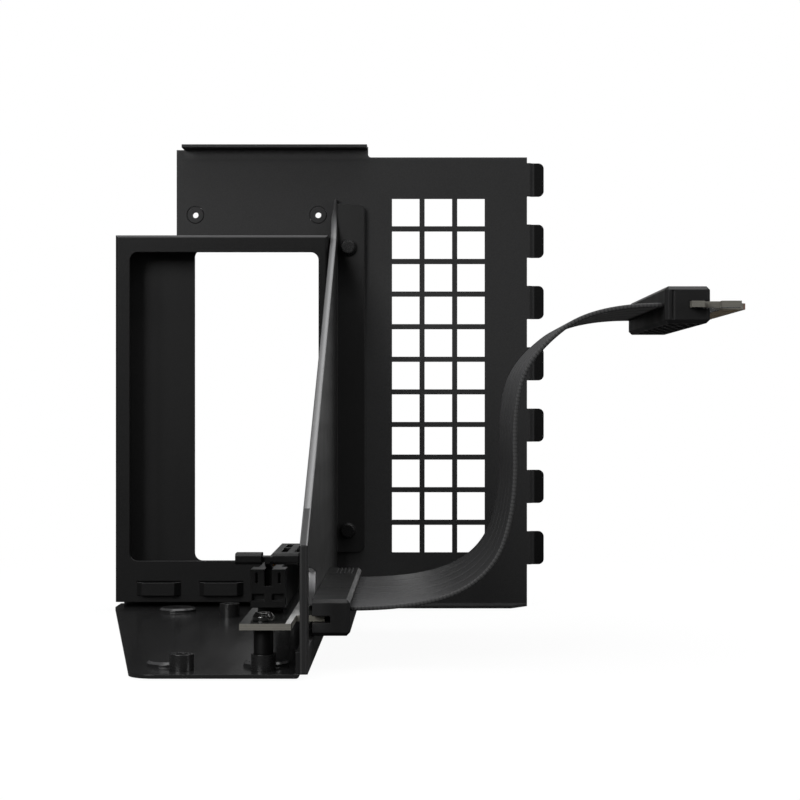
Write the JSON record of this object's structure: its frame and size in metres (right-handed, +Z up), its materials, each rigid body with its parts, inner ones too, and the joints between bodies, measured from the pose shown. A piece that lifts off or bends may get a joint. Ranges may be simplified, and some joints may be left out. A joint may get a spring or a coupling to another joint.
{
  "type": "vertical graphics card mount",
  "caption": "Folded black steel mount that stands a graphics card upright: bracket frame, vented rear plate, side gusset, latched riser socket, and a flat riser cable with an edge plug.",
  "frame": {"origin": "on the ground, under the middle of the box round the mount without its cable", "axes": "+X to the right as the picture shows it, +Y towards the rear plate, +Z up"},
  "size_m": [0.1832, 0.17, 0.152],
  "materials": {
    "black_steel": "fine satin powder coat",
    "tray_steel": "smooth satin coat",
    "bright_steel": "zinc plated",
    "black_screw": "black oxide",
    "black_plastic": "moulded satin",
    "black_board": "gloss solder mask",
    "gold_contact": "gold plated",
    "black_ribbon": "satin jacket"
  },
  "bodies": {
    "mount": {"rear_plate": "black_steel", "clinch_nuts": "black_screw", "bracket_frame": "black_steel", "base_tray": "tray_steel", "tray_standoffs": "black_screw", "board_spacers": "black_plastic", "board_screws": "bright_steel", "side_plate": "black_steel", "side_plate_screws": "black_screw", "riser_board": "black_board", "socket_body": "black_plastic", "socket_contacts": "gold_contact", "cable_cover": "black_plastic", "plug_cover": "black_plastic", "plug_board": "black_board", "ribbon_strip_1": "black_ribbon", "ribbon_strip_2": "black_ribbon", "ribbon_strip_3": "black_ribbon", "ribbon_strip_4": "black_ribbon", "ribbon_strip_5": "black_ribbon"},
    "latch": {"card_latch": "black_plastic"}
  },
  "joints": [
    {"name": "latch_pivot", "type": "hinge", "parent": "mount", "child": "latch", "pos_m": [-0.0098, -0.0588, 0.0172], "axis": [1, 0, 0], "range_deg": [0, 25]}
  ]
}
